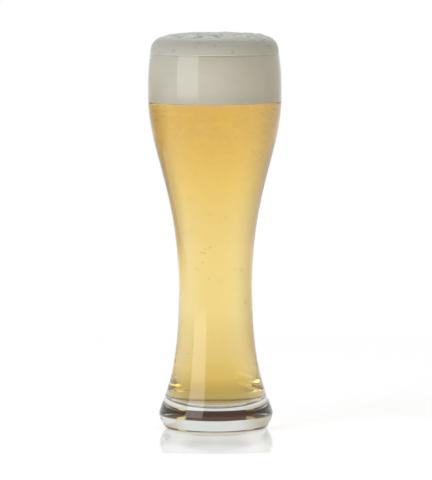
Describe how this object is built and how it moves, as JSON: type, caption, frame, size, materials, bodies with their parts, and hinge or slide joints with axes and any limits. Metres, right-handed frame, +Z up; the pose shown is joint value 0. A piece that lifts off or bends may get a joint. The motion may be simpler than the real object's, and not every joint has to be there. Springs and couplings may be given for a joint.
{
  "type": "pilsner glass",
  "caption": "Tall hourglass beer glass with a heavy solid base, filled with clear pale beer under a white foam head that domes over the rim.",
  "frame": {"origin": "centre of the base, on the surface that the glass stands on", "axes": "+Z up along the glass's axis, from the base to the rim; -Y towards the picture's camera"},
  "size_m": [0.0852, 0.0852, 0.2519],
  "materials": {
    "clear_glass": "polished",
    "pale_beer": "polished",
    "white_foam": "matte"
  },
  "bodies": {
    "root": {"glass": "clear_glass", "beer": "pale_beer", "foam_head": "white_foam"}
  },
  "joints": []
}
